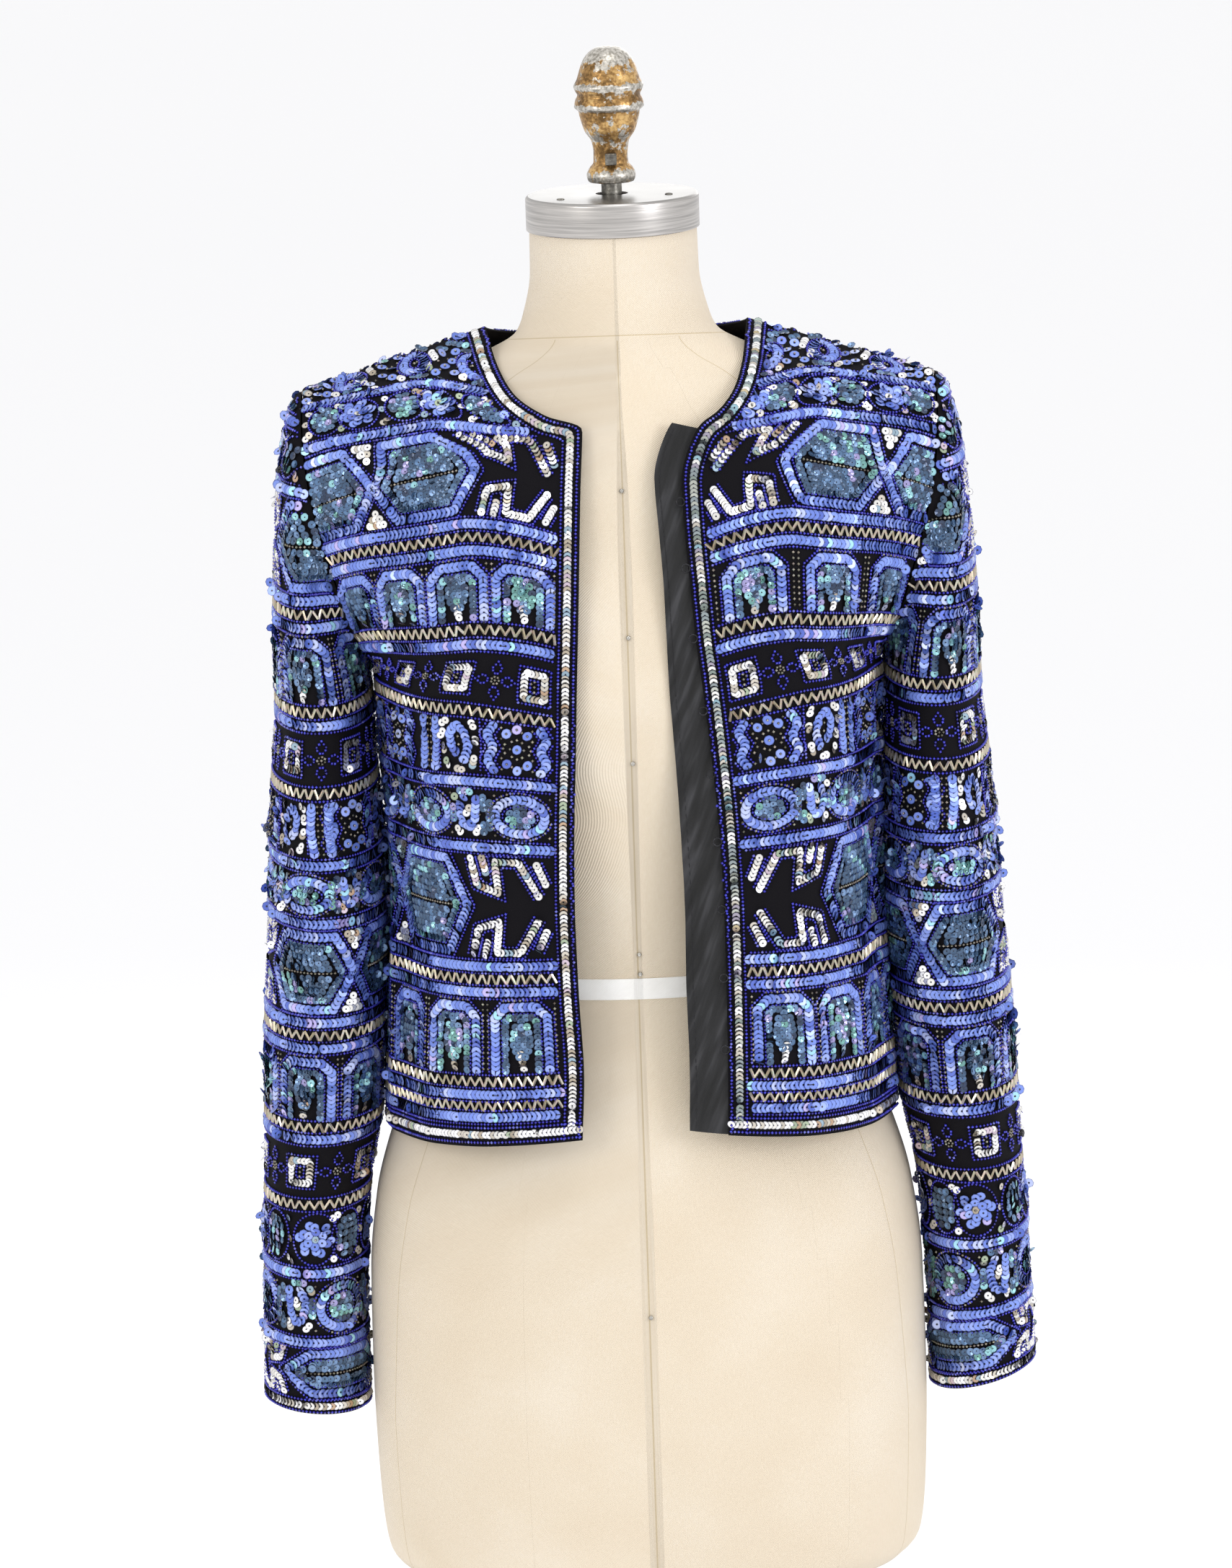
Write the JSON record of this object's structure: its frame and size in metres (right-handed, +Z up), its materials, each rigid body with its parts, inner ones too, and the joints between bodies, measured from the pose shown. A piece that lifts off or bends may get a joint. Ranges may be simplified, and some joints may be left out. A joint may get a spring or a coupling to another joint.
{
  "type": "sequin jacket on a limbless dress form",
  "caption": "Collarless open-front jacket with long set-in sleeves, covered in banded geometric beadwork, standing on a linen dress form with a turned finial and a plain stand.",
  "frame": {"origin": "centre of the stand base's underside, on the floor", "axes": "+Z up, -Y the front of the jacket, +X the wearer's left"},
  "size_m": [0.468, 0.4, 1.34],
  "materials": {
    "beaded_crepe": "matte black crepe under beadwork",
    "black_crepe": "matte crepe weave",
    "black_satin": "soft satin gloss",
    "form_linen": "plain linen twill",
    "cap_aluminium": "brushed, lightly scratched",
    "finial_paint": "worn metallic bronze paint",
    "screw_steel": "dull zinc plate",
    "stand_metal": "satin black enamel",
    "periwinkle_sequins": "pearlescent film",
    "silver_sequins": "metallised film",
    "teal_sequins": "dark iridescent film",
    "navy_beads": "glossy opaque glass",
    "grey_beads": "silver-lined glass",
    "bugle_beads": "champagne silver-lined glass",
    "black_thread": "sewing thread",
    "cotton_tape": "twill tape",
    "pin_steel": "bright steel wire"
  },
  "bodies": {
    "root": {"front_right": "beaded_crepe", "front_left": "beaded_crepe", "back": "beaded_crepe", "underlap": "black_satin", "sleeve_right": "beaded_crepe", "sleeve_left": "beaded_crepe", "form_torso": "form_linen", "neck_cap": "cap_aluminium", "finial_stem": "screw_steel", "finial": "finial_paint", "finial_set_screw": "screw_steel", "stand_pole": "stand_metal", "stand_base": "stand_metal"}
  },
  "joints": []
}
